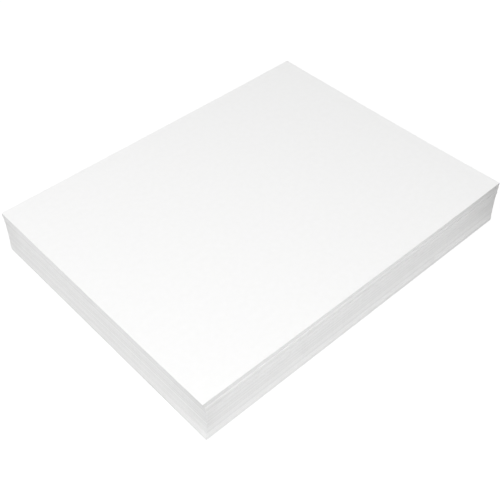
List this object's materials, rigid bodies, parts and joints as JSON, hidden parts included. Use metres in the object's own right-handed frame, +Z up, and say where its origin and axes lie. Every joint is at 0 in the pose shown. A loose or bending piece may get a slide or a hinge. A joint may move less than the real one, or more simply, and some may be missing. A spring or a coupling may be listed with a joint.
{
  "type": "ream of photo paper",
  "caption": "Bare rectangular ream of loose white photo paper sheets, stacked flat, with the topmost lift laid slightly askew.",
  "frame": {"origin": "middle of the ream's overall footprint, on the face it rests on", "axes": "+X along the long side of the sheets, +Y along their short side, +Z up through the ream"},
  "size_m": [0.3584, 0.282, 0.0457],
  "materials": {
    "photo_paper": "smooth matt coated white, with plain guillotined edges"
  },
  "bodies": {
    "root": {"top_sheet": "photo_paper", "sheet_02": "photo_paper", "sheet_03": "photo_paper", "sheet_04": "photo_paper", "sheet_05": "photo_paper", "sheet_06": "photo_paper", "sheet_07": "photo_paper", "sheet_08": "photo_paper", "sheet_09": "photo_paper", "lift_01": "photo_paper", "lift_02": "photo_paper", "lift_03": "photo_paper", "lift_04": "photo_paper", "lift_05": "photo_paper", "lift_06": "photo_paper", "lift_07": "photo_paper", "lift_08": "photo_paper", "lift_09": "photo_paper", "lift_10": "photo_paper", "lift_11": "photo_paper", "lift_12": "photo_paper", "lift_13": "photo_paper", "lift_14": "photo_paper", "lift_15": "photo_paper", "lift_16": "photo_paper", "lift_17": "photo_paper", "lift_18": "photo_paper", "lift_19": "photo_paper", "lift_20": "photo_paper", "lift_21": "photo_paper", "lift_22": "photo_paper", "lift_23": "photo_paper", "lift_24": "photo_paper", "lift_25": "photo_paper", "lift_26": "photo_paper", "lift_27": "photo_paper", "lift_28": "photo_paper", "lift_29": "photo_paper", "lift_30": "photo_paper", "lift_31": "photo_paper", "lift_32": "photo_paper", "lift_33": "photo_paper", "lift_34": "photo_paper", "lift_35": "photo_paper", "lift_36": "photo_paper", "lift_37": "photo_paper", "lift_38": "photo_paper", "lift_39": "photo_paper", "lift_40": "photo_paper", "lift_41": "photo_paper", "lift_42": "photo_paper", "lift_43": "photo_paper", "lift_44": "photo_paper", "lift_45": "photo_paper", "lift_46": "photo_paper", "lift_47": "photo_paper", "lift_48": "photo_paper", "bottom_sheet": "photo_paper"}
  },
  "joints": []
}
